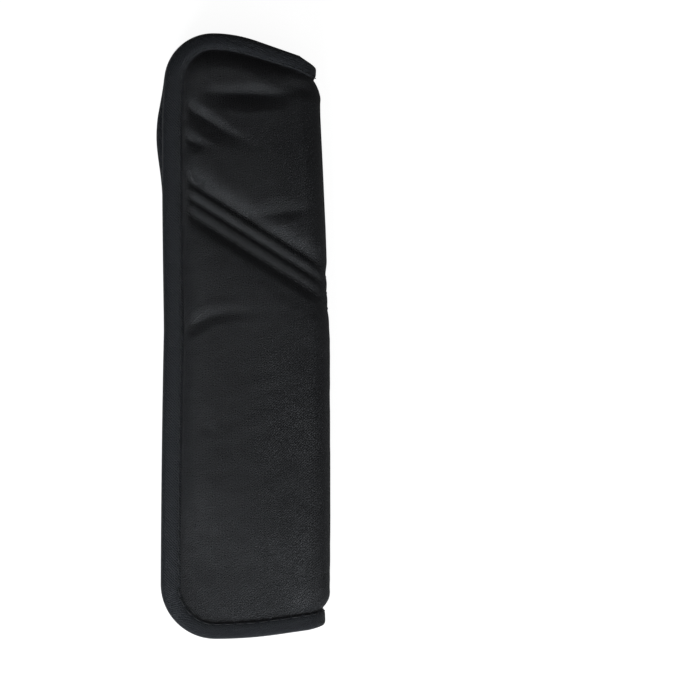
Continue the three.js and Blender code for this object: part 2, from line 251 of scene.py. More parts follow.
# Seams, side by side and slanting over the whole panel
seams = {
    "along": 24.2,
    "slope": -0.645,
    "pitch": 5.5,
    "count": 3,
    # How deep the panel is drawn in, by the distance above the first seam
    "profile": [(-27, 0), (-23, 0.08), (-19, 0.28), (-16.5, 0.55), (-15, 0.85), (-14, 1.2),
                (-13, 1.65), (-12, 2.15), (-11, 2.5), (-10.2, 2.4), (-9.2, 2.15), (-8, 2.0),
                (-6.8, 2.2), (-6, 2.7), (-5.5, 2.95), (-5, 2.85), (-4, 2.4), (-2.6, 1.95),
                (-1.3, 2.15), (-0.5, 2.65), (0, 2.95), (0.5, 2.85), (1.6, 2.45), (3.2, 1.65),
                (5, 0.85), (7, 0.3), (9.5, 0)],
    "foldShare": 0.3,
    "foldReach": 14.0,
    # Puckers above the first seam and below the last one
    "pucker": 0.03,
    "puckerPitch": 5.2,
    "puckerWobble": 4,
    "aboveFirst": 1.8,
    "firstReach": 2.4,
    "belowLast": 2.2,
    "lastReach": 2.6,
    "lastShare": 0.8,
    "stitchPitch": 3.4,
    "stitchMargin": 0.6,
}
seamCos = math.cos(math.atan(seams["slope"]))


def aboveSeam(across, along):
    return (along - seams["along"] - seams["slope"] * across) * seamCos


def smoothTable(table, at):
    x, y = np.array(table, float).T
    slope = np.gradient(y, x)
    k = np.clip(np.searchsorted(x, at) - 1, 0, len(x) - 2)
    span = x[k + 1] - x[k]
    t = np.clip((at - x[k]) / span, 0, 1)
    left = (y[k] * (1 + 2 * t) + slope[k] * span * t) * (1 - t) ** 2
    return left + (y[k + 1] * (3 - 2 * t) - slope[k + 1] * span * (1 - t)) * t ** 2


def seamDrop(across, along):
    share = seams["foldShare"] + (1 - seams["foldShare"]) * ease(np.abs(across) / seams["foldReach"])
    return share * smoothTable(seams["profile"], aboveSeam(across, along))


# Creases of the front half, as points of the flat panel, with the widths of their two flanks. An open
# crease is deepest at its first point, and any other one along its middle.
creases = [
    {"points": [(-52, 99.3), (-44, 98.9), (-34, 98.8), (-24, 98.6), (-15, 98.6)], "depth": 2.4,
     "upper": 5.4, "lower": 7.4},
    {"points": [(-61.0, 94.5), (-49.2, 87.0), (-41.8, 82.2), (-36.5, 80.2)], "depth": 2.4,
     "upper": 4.9, "lower": 7.6, "open": True},
    {"points": [(-61.0, 80.9), (-56, 78.7), (-51, 77.1)], "depth": 1.9,
     "upper": 4.5, "lower": 5.2, "open": True},
    {"points": [(-61.0, 4.0), (-52, 8.0), (-46, 9.2), (-39, 9.2)], "depth": 1.2,
     "upper": 5.4, "lower": 4.6, "open": True},
    {"points": [(-36, 48.6), (-24, 49.6), (-12, 51.8)], "depth": 1.4,
     "upper": 7.0, "lower": 4.8},
    {"points": [(-57, -37.6), (-51, -39.4)], "depth": 0.22,
     "upper": 3.5, "lower": 3.5},
    {"points": [(-27, 104.5), (-19, 102.4), (-12.8, 100.8), (-7, 99.4), (-2, 98.6)], "depth": 1.0,
     "upper": 5.4, "lower": 3.8},
    {"points": [(-57, 63.5), (-52, 61.5)], "depth": 0.5,
     "upper": 3.0, "lower": 3.0},
]
creaseShape = {"end": 0.15, "rounding": 0.35, "endReach": 0.6, "upperPower": 0.7, "lowerPower": 1.25}


def creaseDrop(across, along):
    shape = creaseShape
    drop = np.zeros(np.shape(across))
    for crease in creases:
        points = np.array(crease["points"], float)
        best = np.full(np.shape(across), 1e9)
        run = np.zeros(np.shape(across))
        side = np.zeros(np.shape(across))
        passed = 0.0
        for a, b in zip(points[:-1], points[1:]):
            d = b - a
            size = np.hypot(*d)
            t = np.clip(((across - a[0]) * d[0] + (along - a[1]) * d[1]) / size ** 2, 0, 1)
            gapX, gapY = across - a[0] - t * d[0], along - a[1] - t * d[1]
            far = np.hypot(gapX, gapY)
            nearer = far < best
            run = np.where(nearer, passed + t * size, run)
            side = np.where(nearer, d[0] * gapY - d[1] * gapX, side)
            best = np.minimum(best, far)
            passed += size
        reach = np.where(side > 0, crease["upper"], crease["lower"])
        start = math.pi / 2 if crease.get("open") else 0.0
        fade = shape["end"] + (1 - shape["end"]) * np.sin(start + (math.pi - start) * run / passed)
        width = reach * (shape["endReach"] + (1 - shape["endReach"]) * fade)
        flank = (np.sqrt(best ** 2 + shape["rounding"] ** 2) - shape["rounding"]) / width
        upper = 1 - ease(flank) ** shape["upperPower"]
        lower = fall(flank, shape["lowerPower"])
        drop += crease["depth"] * fade * np.where(side > 0, upper, lower)
    return drop


# The front half lies thinner toward its upper end, and fuller beside the fold in its lower part
slack = {"depth": 2.3, "from": 60.0, "over": 48.0, "foldOver": 10.0, "side": 60.0, "sideOver": 12.0}
fullness = {"height": 1.5, "across": 10.5, "reach": 6.5, "along": -5.0, "over": 30.0}
gathers = {"pitch": 7.2, "height": 0.1, "reach": 8.0, "power": 2, "wobble": 3.2, "wobbleScale": 6.5}
waves = {"height": 0.07, "scale": 21.0, "stretch": 1.3, "fine": 0.03, "fineScale": 6.0}
seeds = {"gather": 3.7, "wave": 8.2, "fineWave": 5.1, "tape": 1.3, "pile": 4.0}


# Thickness of the padding, squeezed at the binding, the seams and the fold
def loft(across, along):
    distance, run, narrow = edgeField(across, along)
    inside = np.maximum(distance - panel["stitchInset"] * narrow, 0)
    flat = ease(np.abs(across) / panel["foldRise"])
    atEnd = np.minimum((1 - narrow) / panel["endNarrowing"], 1) * (along > 0)
    sideRise = panel["edgeRise"] + (panel["topRise"] - panel["edgeRise"]) * atEnd
    power = panel["edgePower"] + (panel["topPower"] - panel["edgePower"]) * atEnd
    rise = 1 - fall(inside / (panel["foldEdgeRise"] + (sideRise - panel["foldEdgeRise"]) * flat), power)
    sideGap = panel["halfWidthBottom"] - panel["stitchInset"] - np.abs(across)
    endGap = along - panel["bottomEdge"] - panel["stitchInset"] * (1 - panel["endNarrowing"])
    hip = panel["hipReach"]
    nearer = -hip * np.log(np.exp(-sideGap / hip) + np.exp(-endGap / hip))
    gentle = 1 - fall(np.clip(nearer, 0, inside) / panel["bottomRise"], panel["bottomPower"])
    low = ease(panel["bottomShare"] - (along - panel["bottomEdge"]) / panel["bottomRise"])
    rise += (gentle - rise) * low * flat
    full = panel["foldLoft"] + (panel["panelLoft"] - panel["foldLoft"]) * flat
    thinner = slack["depth"] * ease((along - slack["from"]) / slack["over"])
    thinner = thinner * ease(-across / slack["foldOver"])
    full -= thinner * ease((slack["side"] + across) / slack["sideOver"])
    wobble = smoothNoise(across, along, gathers["wobbleScale"], seeds["gather"])
    gather = np.cos(2 * math.pi * run / gathers["pitch"] + gathers["wobble"] * wobble)
    gather = gather * fall(inside / gathers["reach"], gathers["power"])
    drop = (seamDrop(across, along) + creaseDrop(across, along)) * ease(inside / panel["cutRise"])
    above = aboveSeam(across, along)
    place = (across * seamCos + (along - seams["along"]) * seams["slope"] * seamCos) / seams["puckerPitch"]
    last = -(seams["count"] - 1) * seams["pitch"]
    nearFirst = np.exp(-((above - seams["aboveFirst"]) / seams["firstReach"]) ** 2)
    nearLast = np.exp(-((above - last + seams["belowLast"]) / seams["lastReach"]) ** 2)
    nearSeam = nearFirst + seams["lastShare"] * nearLast
    pucker = seams["pucker"] * np.cos(2 * math.pi * place + seams["puckerWobble"] * wobble) * nearSeam
    wave = waves["height"] * smoothNoise(across, along * waves["stretch"], waves["scale"], seeds["wave"])
    wave += waves["fine"] * smoothNoise(across, along, waves["fineScale"], seeds["fineWave"])
    height = panel["edgeLoft"] + (full - panel["edgeLoft"]) * rise - drop + (pucker + wave) * rise * flat
    bulge = np.exp(-((across + fullness["across"]) / fullness["reach"]) ** 2)
    height += fullness["height"] * bulge * ease((fullness["along"] - along) / fullness["over"]) * rise
    height += gathers["height"] * gather * np.minimum(1, inside)
    return np.maximum(height, panel["edgeLoft"])


def meshPiece(name, verts, faces, smooth=True):
    mesh = bpy.data.meshes.new(name)
    mesh.from_pydata([tuple(v) for v in verts], [], [tuple(f) for f in faces])
    mesh.update()
    for polygon in mesh.polygons:
        polygon.use_smooth = smooth
    piece = bpy.data.objects.new(name, mesh)
    bpy.context.collection.objects.link(piece)
    return piece


# Cloth coordinates in metres, so that a weave follows the cut of the cloth
def setFlatUv(piece, flat):
    layer = piece.data.uv_layers.new(name="cloth")
    index = np.empty(len(piece.data.loops), int)
    piece.data.loops.foreach_get("vertex_index", index)
    layer.data.foreach_set("uv", (np.asarray(flat)[index] * mm).ravel())


def lattice(step):
    reach = panel["halfWidthBottom"]
    columns = np.linspace(-reach, reach, round(2 * reach / step) + 1)
    height = panel["topEdge"] - panel["bottomEdge"]
    rows = np.linspace(panel["bottomEdge"], panel["topEdge"], round(height / step) + 1)
    return np.meshgrid(columns, rows)


# Flat points and quads over the panel, as far out as the margin inside its edge
def gridSheet(step, margin):
    across, along = lattice(step)
    distance, _, _ = edgeField(across, along)
    keep = distance > margin
    quadKeep = keep[:-1, :-1] & keep[1:, :-1] & keep[:-1, 1:] & keep[1:, 1:]
    number = -np.ones(across.shape, int)
    used = np.zeros(across.shape, bool)
    for dy, dx in ((0, 0), (0, 1), (1, 1), (1, 0)):
        used[dy:dy + quadKeep.shape[0], dx:dx + quadKeep.shape[1]] |= quadKeep
    number[used] = np.arange(used.sum())
    y, x = np.nonzero(quadKeep)
    quads = np.stack([number[y, x], number[y, x + 1], number[y + 1, x + 1], number[y + 1, x]], -1)
    return across[used], along[used], quads, used


# Cloth pass: a coarse copy of the cover, held at its stitching and blown up a little, so that the cloth
# finds its own small folds beside the seams. Only its small movement is kept, as a height over the panel.
settling = {
    "step": 2.4,
    "margin": 5.5,
    "frames": 20,
    "hold": 0.12,
    "heldBeyond": 1.0,
    "heldAtSeam": 0.45,
    "smooth": 6,
    "share": 0.22,
    "most": 0.3,
}
clothSettings = {
    "quality": 7,
    "mass": 0.15,
    "tension_stiffness": 20,
    "compression_stiffness": 20,
    "shear_stiffness": 8,
    "bending_stiffness": 0.4,
    "air_damping": 6,
    "use_pressure": True,
    "uniform_pressure_force": 3.0,
    "vertex_group_mass": "held",
    "pin_stiffness": 0.6,
    "shrink_min": -0.035,
}


# Each round mixes a value with its four neighbours inside the mask
def blurred(values, mask, rounds):
    out = np.where(mask, values, 0.0)
    weight = mask.astype(float)
    for _ in range(rounds):
        total, count = out * 1.0, weight * 1.0
        for axis in (0, 1):
            for way in (1, -1):
                total += np.roll(out * weight, way, axis)
                count += np.roll(weight, way, axis)
        out = np.where(mask, total / np.maximum(count, 1), 0.0)
    return out


def settleCover():
    across, along, quads, used = gridSheet(settling["step"], settling["margin"])
    height = plainTop(across, along)
    start = folded(across, along, height)
    above = folded(across, along, height + 1.0)
    outward = (above - start) / mm
    piece = meshPiece("settlingCloth", start, quads)
    distance, _, narrow = edgeField(across, along)
    seamGap = np.full(len(across), 1e9)
    for i in range(seams["count"]):
        seamGap = np.minimum(seamGap, np.abs(aboveSeam(across, along) + i * seams["pitch"]))
    atBinding = distance < panel["stitchInset"] * narrow + settling["heldBeyond"]
    held = atBinding | (seamGap < settling["step"] * settling["heldAtSeam"])
    group = piece.vertex_groups.new(name="held")
    group.add([int(i) for i in np.nonzero(held)[0]], 1.0, "REPLACE")
    group.add([int(i) for i in np.nonzero(~held)[0]], settling["hold"], "REPLACE")
    cloth = piece.modifiers.new("cloth", "CLOTH")
    for setting, value in clothSettings.items():
        setattr(cloth.settings, setting, value)
    cloth.settings.effector_weights.gravity = 0
    cloth.collision_settings.use_collision = False
    cloth.point_cache.frame_start = 1
    cloth.point_cache.frame_end = settling["frames"]
    scene = bpy.context.scene
    for step in range(1, settling["frames"] + 1):
        scene.frame_set(step)
    made = piece.evaluated_get(bpy.context.evaluated_depsgraph_get()).to_mesh()
    places = np.empty(len(across) * 3)
    made.vertices.foreach_get("co", places)
    moved = (places.reshape(-1, 3) - start) / mm
    rise = (moved * outward).sum(1)
    print("cloth moved", rise.min().round(2), rise.max().round(2), np.abs(moved).max().round(2))
    bpy.data.objects.remove(piece, do_unlink=True)
    scene.frame_set(1)
    field = np.zeros(used.shape)
    field[used] = rise
    small = field - blurred(field, used, settling["smooth"])
    small = settling["most"] * np.tanh(settling["share"] * small / settling["most"])
    return np.where(used, small, 0.0)


# Smooth value of a field of the lattice at flat points
def splineAt(field, step, across, along):
    reach = panel["halfWidthBottom"]
    rows, columns = field.shape
    u = (across + reach) / (2 * reach) * (columns - 1)
    v = (along - panel["bottomEdge"]) / (panel["topEdge"] - panel["bottomEdge"]) * (rows - 1)
    i, j = np.floor(u).astype(int), np.floor(v).astype(int)

    def weights(t):
        return ((1 - t) ** 3 / 6, (3 * t ** 3 - 6 * t ** 2 + 4) / 6,
                (-3 * t ** 3 + 3 * t ** 2 + 3 * t + 1) / 6, t ** 3 / 6)

    total = np.zeros(np.shape(across))
    for b, wv in enumerate(weights(v - j)):
        for a, wu in enumerate(weights(u - i)):
            row = np.clip(j + b - 1, 0, rows - 1)
            column = np.clip(i + a - 1, 0, columns - 1)
            total += wu * wv * field[row, column]
    return total


def plainTop(across, along):
    return panel["lining"] + 2 * panel["clearance"] + panel["cover"] + loft(across, along)


def coverTop(across, along):
    top = plainTop(across, along) + splineAt(settled, settling["step"], across, along)
    return np.maximum(top, edgeStack)


settled = settleCover()
print("cloth settled")


# Cover

coverCut = {"step": 0.72, "margin": 4.2}


def makeCover():
    across, along, quads, _ = gridSheet(coverCut["step"], coverCut["margin"])
    height = coverTop(across, along)
    verts = folded(across, along, height)
    piece = meshPiece("quiltedCover", verts, quads)
    setFlatUv(piece, np.stack([across, along], -1))
    return piece


cover = makeCover()
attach(cover, "root")
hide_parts("outer_cover")
print("cover:", len(cover.data.polygons), "faces")


# A layer of the panel with both faces and its rim
def closedSheet(name, step, margin, lowHeight, highHeight):
    across, along, quads, _ = gridSheet(step, margin)
    outer = folded(across, along, highHeight(across, along))
    inner = folded(across, along, lowHeight(across, along))
    count = len(across)
    edges = {}
    for a, b, c, d in quads:
        for edge in ((a, b), (b, c), (c, d), (d, a)):
            if (edge[1], edge[0]) in edges:
                del edges[(edge[1], edge[0])]
            else:
                edges[edge] = True
    faces = [tuple(q) for q in quads]
    faces += [(q[3] + count, q[2] + count, q[1] + count, q[0] + count) for q in quads]
    faces += [(b, a, a + count, b + count) for a, b in edges]
    piece = meshPiece(name, np.concatenate([outer, inner]), faces)
    flat = np.stack([across, along], -1)
    setFlatUv(piece, np.concatenate([flat, flat]))
    return piece


foamCut = {"step": 2.4, "margin": 2.2, "gap": 0.25, "least": 0.6}
liningCut = {"step": 1.6, "margin": 1.2}


def foamTop(across, along):
    top = coverTop(across, along) - panel["cover"] - panel["clearance"] - foamCut["gap"]
    return np.maximum(top, panel["lining"] + foamCut["least"])


foam = closedSheet("foamSheet", foamCut["step"], foamCut["margin"],
                   lambda x, y: panel["lining"] + panel["clearance"], foamTop)
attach(foam, "root")
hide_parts("foam_pad")

liningCloth = closedSheet("liningCloth", liningCut["step"], liningCut["margin"],
                          lambda x, y: 0.0 * x, lambda x, y: 0.0 * x + panel["lining"])
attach(liningCloth, "root")
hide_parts("lining")
print("foam and lining made")

# Binding

# The crest is the soft roll of the tape between its two edges, and it runs out at the fold
binding = {
    "step": 1.2,
    "width": 8.2,
    "crest": 0.5,
    "crestLean": 0.35,
    "crestOuter": 0.8,
    "crestFrom": 4,
    "crestOver": 24,
    "stitchRow": 7.3,
    "stitchPitch": 4.6,
    "pinch": 0.12,
    "pinchReach": 0.9,
    "uneven": 0.18,
    "unevenScale": 9,
}


# Points along a soft curve through the given ones
def smoothSection(points, count):
    points = np.array(points, float)
    padded = np.concatenate([[2 * points[0] - points[1]], points, [2 * points[-1] - points[-2]]])
    out = []
    for i in range(1, len(padded) - 2):
        p0, p1, p2, p3 = padded[i - 1:i + 3]
        for t in np.linspace(0, 1, count, endpoint=False):
            out.append(0.5 * (2 * p1 + (p2 - p0) * t + (2 * p0 - 5 * p1 + 4 * p2 - p3) * t ** 2
                              + (3 * p1 - p0 - 3 * p2 + p3) * t ** 3))
    out.append(padded[-2])
    return np.array(out)


def makeBinding():
    points, inward, run = outline(binding["step"])
    top = edgeStack + panel["clearance"] + panel["tape"]
    bottom = -panel["clearance"] - panel["tape"]
    middle = edgeStack / 2
    width = binding["width"]
    back = smoothSection([
        (width, edgeStack + 0.2), (width - 0.8, top - 0.5), (width * 0.72, top - 0.1),
        (width * 0.48, top), (width * 0.2, top),
        (0.5, top - 0.6), (0.0, middle), (0.8, bottom + 0.7), (width * 0.25, bottom),
        (width * 0.6, bottom), (width, -panel["clearance"] - 0.2),
    ], 3)
    inside = np.array([(width, -panel["clearance"]), (panel["tape"], -panel["clearance"]),
                       (panel["tape"], edgeStack + panel["clearance"] * 0.5),
                       (width, edgeStack + panel["clearance"] * 0.15)])
    section = np.concatenate([back, inside])
    count = len(section)
    inset = section[:, 0][None] * np.ones((len(points), 1))
    height = section[:, 1][None] * np.ones((len(points), 1))
    flat = points[:, None] + inward[:, None] * (inset * narrowing(inward[:, 0], points)[:, None])[..., None]
    pinch = np.exp(-((section[:, 0] - binding["stitchRow"]) / binding["pinchReach"]) ** 2)
    onTop = (section[:, 1] > middle) & (np.arange(count) < len(back))
    stitch = np.cos(2 * math.pi * run / binding["stitchPitch"])
    uneven = smoothNoise(points[:, 0], points[:, 1], binding["unevenScale"], seeds["tape"])
    share = np.clip(section[:, 0] / width, 0, 1)
    hump = np.sin(math.pi * share) * np.where(share > 0.5, 1, binding["crestOuter"])
    crest = binding["crest"] - binding["crestLean"] * inward[:, 1:]
    crest = crest * ease((np.abs(points[:, :1]) - binding["crestFrom"]) / binding["crestOver"])
    height[:, onTop] += (crest * hump[None])[:, onTop]
    pinched = binding["pinch"] * stitch[:, None] * pinch[None]
    swell = binding["uneven"] * uneven[:, None] * np.sin(math.pi * section[:, 0] / width)[None]
    height[:, onTop] += (pinched + swell)[:, onTop]
    verts = folded(flat[..., 0], flat[..., 1], height).reshape(-1, 3)
    faces = []
    rings = len(points)
    for i in range(rings):
        here, there = i * count, (i + 1) % rings * count
        for k in range(count):
            nxt = (k + 1) % count
            faces.append((here + k, here + nxt, there + nxt, there + k))
    piece = meshPiece("edgeTape", verts, faces)
    lengths = np.concatenate([[0], np.cumsum(np.linalg.norm(np.diff(section, axis=0), axis=1))])
    uv = np.stack([np.repeat(run, count), np.tile(lengths, rings)], -1)
    setFlatUv(piece, uv)
    return piece


edgeTape = makeBinding()
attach(edgeTape, "root")
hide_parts("edge_binding")
print("binding:", len(edgeTape.data.polygons), "faces")

# Stitches

thread = {
    "radius": 0.24,
    "sides": 6,
    "rings": 5,
    "arch": 0.2,
    "archPower": 0.6,
    "sink": 0.16,
    "tip": 0.55,
    "belly": 0.45,
    "share": 0.8,
    "rowStep": 0.6,
    "rowReach": 72,
    "rowPoints": 721,
    "tapeSink": 0.2,
}


# Separate stitches along a row given as flat points with heights
def stitchRow(name, across, along, height, pitch):
    run = np.concatenate([[0], np.cumsum(np.hypot(np.diff(across), np.diff(along)))])
    count = int(run[-1] / pitch)
    verts, faces = [], []
    for i in range(count):
        t = np.linspace(0, 1, thread["rings"])
        at = (i + 0.5 * (1 - thread["share"]) + thread["share"] * t) * pitch
        bow = 4 * t * (1 - t)
        arch = thread["arch"] * bow ** thread["archPower"] - thread["sink"]
        a = np.interp(at, run, across)
        b = np.interp(at, run, along)
        h = np.interp(at, run, height)
        center = folded(a, b, h + arch)
        above = folded(a, b, h + arch + 1.0)
        ahead = np.gradient(center, axis=0)
        ahead /= np.linalg.norm(ahead, axis=1)[:, None]
        up = above - center
        side = np.cross(ahead, up)
        side /= np.linalg.norm(side, axis=1)[:, None]
        up = np.cross(side, ahead)
        radius = thread["radius"] * mm * (thread["tip"] + thread["belly"] * bow ** 0.5)
        first = len(verts)
        for ring in range(thread["rings"]):
            for k in range(thread["sides"]):
                turn = 2 * math.pi * k / thread["sides"]
                offset = side[ring] * math.cos(turn) + up[ring] * math.sin(turn)
                verts.append(center[ring] + offset * radius[ring])
        sides = thread["sides"]
        for ring in range(thread["rings"] - 1):
            for k in range(sides):
                nxt = (k + 1) % sides
                here = first + ring * sides
                faces.append((here + k, here + nxt, here + sides + nxt, here + sides + k))
        faces.append(tuple(first + k for k in reversed(range(sides))))
        last = first + (thread["rings"] - 1) * sides
        faces.append(tuple(last + k for k in range(sides)))
    return meshPiece(name, verts, faces)


def seamStitches(index):
    place = -index * seams["pitch"]
    across = np.linspace(-thread["rowReach"], thread["rowReach"], thread["rowPoints"])
    along = seams["along"] + seams["slope"] * across + place / seamCos
    distance, _, _ = edgeField(across, along)
    keep = distance > panel["stitchInset"] + seams["stitchMargin"]
    across, along = across[keep], along[keep]
    top = coverTop(across, along)
    return stitchRow(f"seamStitches{index + 1}", across, along, top, seams["stitchPitch"])


def bindingStitches():
    points, inward, _ = outline(thread["rowStep"])
    flat = points + inward * (binding["stitchRow"] * narrowing(inward[:, 0], points))[:, None]
    top = np.full(len(flat), edgeStack + panel["clearance"] + panel["tape"] - thread["tapeSink"])
    return stitchRow("bindingStitches", flat[:, 0], flat[:, 1], top, binding["stitchPitch"])


bindingThread = bindingStitches()
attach(bindingThread, "root")
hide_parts("binding_stitching")
seamRows = [seamStitches(i) for i in range(seams["count"])]
for i, row in enumerate(seamRows):
    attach(row, "root")
    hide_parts(f"seam_thread_{i + 1}")
print("stitches made")


# Hook and loop strips, with a low uneven pile sunk into the faces that meet

strip = {"step": 0.6, "pile": 0.12, "uneven": 0.1, "rate": 1.7, "rim": 0.6}


def makeStrip(name, box, isHook):
    low, high = np.array(box[0]), np.array(box[1])
    step = strip["step"] * mm
    nx = round((high[0] - low[0]) / step)
    ny = round((high[1] - low[1]) / step)
    bm = bmesh.new()
    faceZ = low[2] if isHook else high[2]
    backZ = high[2] if isHook else low[2]
    grids = []
    for z, isFace in ((faceZ, True), (backZ, False)):
        rows = []
        for j in range(ny + 1):
            row = []
            for i in range(nx + 1):
                x = low[0] + (high[0] - low[0]) * i / nx
                y = low[1] + (high[1] - low[1]) * j / ny
                pile = 0.0
                if isFace and 1 < i < nx - 1 and 1 < j < ny - 1:
                    spot = (x / mm * strip["rate"], y / mm * strip["rate"], seeds["pile"])
                    pile = (strip["pile"] + strip["uneven"] * noise.noise(Vector(spot))) * mm
                elif isFace:
                    pile = strip["rim"] * mm
                row.append(bm.verts.new((x, y, z + pile if isHook else z - pile if isFace else z)))
            rows.append(row)
        grids.append(rows)
    for rows in grids:
        for j in range(ny):
            for i in range(nx):
                quad = [rows[j][i], rows[j][i + 1], rows[j + 1][i + 1], rows[j + 1][i]]
                bm.faces.new(quad)
    rim = [(0, i) for i in range(nx)] + [(j, nx) for j in range(ny)]
    rim += [(ny, i) for i in range(nx, 0, -1)] + [(j, 0) for j in range(ny, 0, -1)]
    for k, (j, i) in enumerate(rim):
        j2, i2 = rim[(k + 1) % len(rim)]
        bm.faces.new([grids[0][j][i], grids[0][j2][i2], grids[1][j2][i2], grids[1][j][i]])
    bmesh.ops.recalc_face_normals(bm, faces=bm.faces)
    mesh = bpy.data.meshes.new(name)
    bm.to_mesh(mesh)
    bm.free()
    piece = bpy.data.objects.new(name, mesh)
    bpy.context.collection.objects.link(piece)
    return piece


hookTape = makeStrip("hookTape", hookBox, True)
loopTape = makeStrip("loopTape", loopBox, False)
for piece, node, slot in ((hookTape, "hook_strip", "hook_tape"), (loopTape, "loop_strip", "loop_tape")):
    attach(piece, "root")
    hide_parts(node)
print("closure made")


# Materials

def newGroup(name, inputs, outputs):
    group = bpy.data.node_groups.new(name, "ShaderNodeTree")
    for label, kind, value in inputs:
        socket = group.interface.new_socket(label, in_out="INPUT", socket_type=kind)
        if value is not None:
            socket.default_value = value
    for label, kind in outputs:
        group.interface.new_socket(label, in_out="OUTPUT", socket_type=kind)
    return group, group.nodes.new("NodeGroupInput"), group.nodes.new("NodeGroupOutput")


def mathNode(tree, operation, a, b=None, clamp=False):
    node = tree.nodes.new("ShaderNodeMath")
    node.operation = operation
    node.use_clamp = clamp
    for socket, value in zip(node.inputs, (a, b)):
        if value is None:
            continue
        if isinstance(value, (int, float)):
            socket.default_value = value
        else:
            tree.links.new(value, socket)
    return node.outputs[0]


def noiseNode(tree, vector, scale, detail):
    node = tree.nodes.new("ShaderNodeTexNoise")
    node.inputs["Scale"].default_value = scale
    node.inputs["Detail"].default_value = detail
    tree.links.new(vector, node.inputs["Vector"])
    return node.outputs["Fac"]


weaveLook = {
    "wobbleScale": 1500,
    "wobbleDetail": 3,
    "wobbleShift": 14.0,
    "threadRate": 1.9,
    "wale": 0.26,
    "threads": 0.06,
    "patchScale": 28,
    "patchDetail": 4,
    "grainScale": 2300,
    "grainDetail": 1,
}


# Slanting wales of a twill, its threads and their unevenness
def makeTwillGroup():
    look = weaveLook
    tree, given, made = newGroup(
        "twillWeave",
        [("Vector", "NodeSocketVector", None), ("Pitch", "NodeSocketFloat", 0.0008),
         ("Slant", "NodeSocketFloat", 1.0), ("Unevenness", "NodeSocketFloat", 0.3)],
        [("Height", "NodeSocketFloat"), ("Tone", "NodeSocketFloat"), ("Grain", "NodeSocketFloat")],
    )
    split = tree.nodes.new("ShaderNodeSeparateXYZ")
    tree.links.new(given.outputs["Vector"], split.inputs[0])
    rate = mathNode(tree, "DIVIDE", 2 * math.pi, given.outputs["Pitch"])
    slanted = mathNode(tree, "MULTIPLY", split.outputs["Y"], given.outputs["Slant"])
    along = mathNode(tree, "ADD", split.outputs["X"], slanted)
    wobble = noiseNode(tree, given.outputs["Vector"], look["wobbleScale"], look["wobbleDetail"])
    uneven = mathNode(tree, "SUBTRACT", wobble, 0.5)
    uneven = mathNode(tree, "MULTIPLY", uneven, given.outputs["Unevenness"])
    shift = mathNode(tree, "MULTIPLY", uneven, look["wobbleShift"])
    wale = mathNode(tree, "SINE", mathNode(tree, "ADD", mathNode(tree, "MULTIPLY", along, rate), shift))
    threadRate = mathNode(tree, "MULTIPLY", rate, look["threadRate"])
    threads = mathNode(tree, "SINE", mathNode(tree, "MULTIPLY", split.outputs["X"], threadRate))
    waleHeight = mathNode(tree, "MULTIPLY", wale, look["wale"])
    threadHeight = mathNode(tree, "MULTIPLY", threads, look["threads"])
    height = mathNode(tree, "ADD", mathNode(tree, "ADD", waleHeight, threadHeight), 0.5)
    height = mathNode(tree, "ADD", height, uneven)
    tree.links.new(height, made.inputs["Height"])
    patches = noiseNode(tree, given.outputs["Vector"], look["patchScale"], look["patchDetail"])
    tree.links.new(patches, made.inputs["Tone"])
    specks = noiseNode(tree, given.outputs["Vector"], look["grainScale"], look["grainDetail"])
    tree.links.new(mathNode(tree, "SUBTRACT", specks, 0.5), made.inputs["Grain"])
    return tree


twill = makeTwillGroup()
shading = {"height": 0.7, "patches": 0.4, "grain": 6, "roughGrain": 0.7, "sheenRough": 0.4}


def clothMaterial(name, look):
    material = bpy.data.materials.new(name)
    material.use_nodes = True
    tree = material.node_tree
    shader = tree.nodes["Principled BSDF"]
    uv = tree.nodes.new("ShaderNodeUVMap")
    uv.uv_map = "cloth"
    weave = tree.nodes.new("ShaderNodeGroup")
    weave.node_tree = twill
    weave.inputs["Pitch"].default_value = look["pitch"] * mm
    weave.inputs["Slant"].default_value = look["slant"]
    weave.inputs["Unevenness"].default_value = look["unevenness"]
    tree.links.new(uv.outputs["UV"], weave.inputs["Vector"])
    ramp = tree.nodes.new("ShaderNodeMix")
    ramp.data_type = "RGBA"
    ramp.inputs["A"].default_value = (*look["dark"], 1)
    ramp.inputs["B"].default_value = (*look["light"], 1)
    tone = mathNode(tree, "MULTIPLY", weave.outputs["Height"], shading["height"])
    patches = mathNode(tree, "MULTIPLY", weave.outputs["Tone"], shading["patches"])
    tone = mathNode(tree, "ADD", tone, patches)
    specks = mathNode(tree, "MULTIPLY", weave.outputs["Grain"], look["grain"] * shading["grain"])
    tone = mathNode(tree, "ADD", tone, specks, True)
    tree.links.new(tone, ramp.inputs["Factor"])
    tree.links.new(ramp.outputs["Result"], shader.inputs["Base Color"])
    rough = mathNode(tree, "MULTIPLY", weave.outputs["Tone"], look["roughRange"])
    rough = mathNode(tree, "ADD", rough, look["rough"] - look["roughRange"] / 2)
    specks = mathNode(tree, "MULTIPLY", weave.outputs["Grain"], look["grain"] * shading["roughGrain"])
    rough = mathNode(tree, "ADD", rough, specks)
    tree.links.new(rough, shader.inputs["Roughness"])
    bump = tree.nodes.new("ShaderNodeBump")
    bump.inputs["Strength"].default_value = look["bump"]
    bump.inputs["Distance"].default_value = look["bumpDepth"] * mm
    tree.links.new(weave.outputs["Height"], bump.inputs["Height"])
    tree.links.new(bump.outputs["Normal"], shader.inputs["Normal"])
    shader.inputs["Specular IOR Level"].default_value = look["specular"]
    shader.inputs["Sheen Weight"].default_value = look["sheen"]
    shader.inputs["Sheen Roughness"].default_value = shading["sheenRough"]
    return material


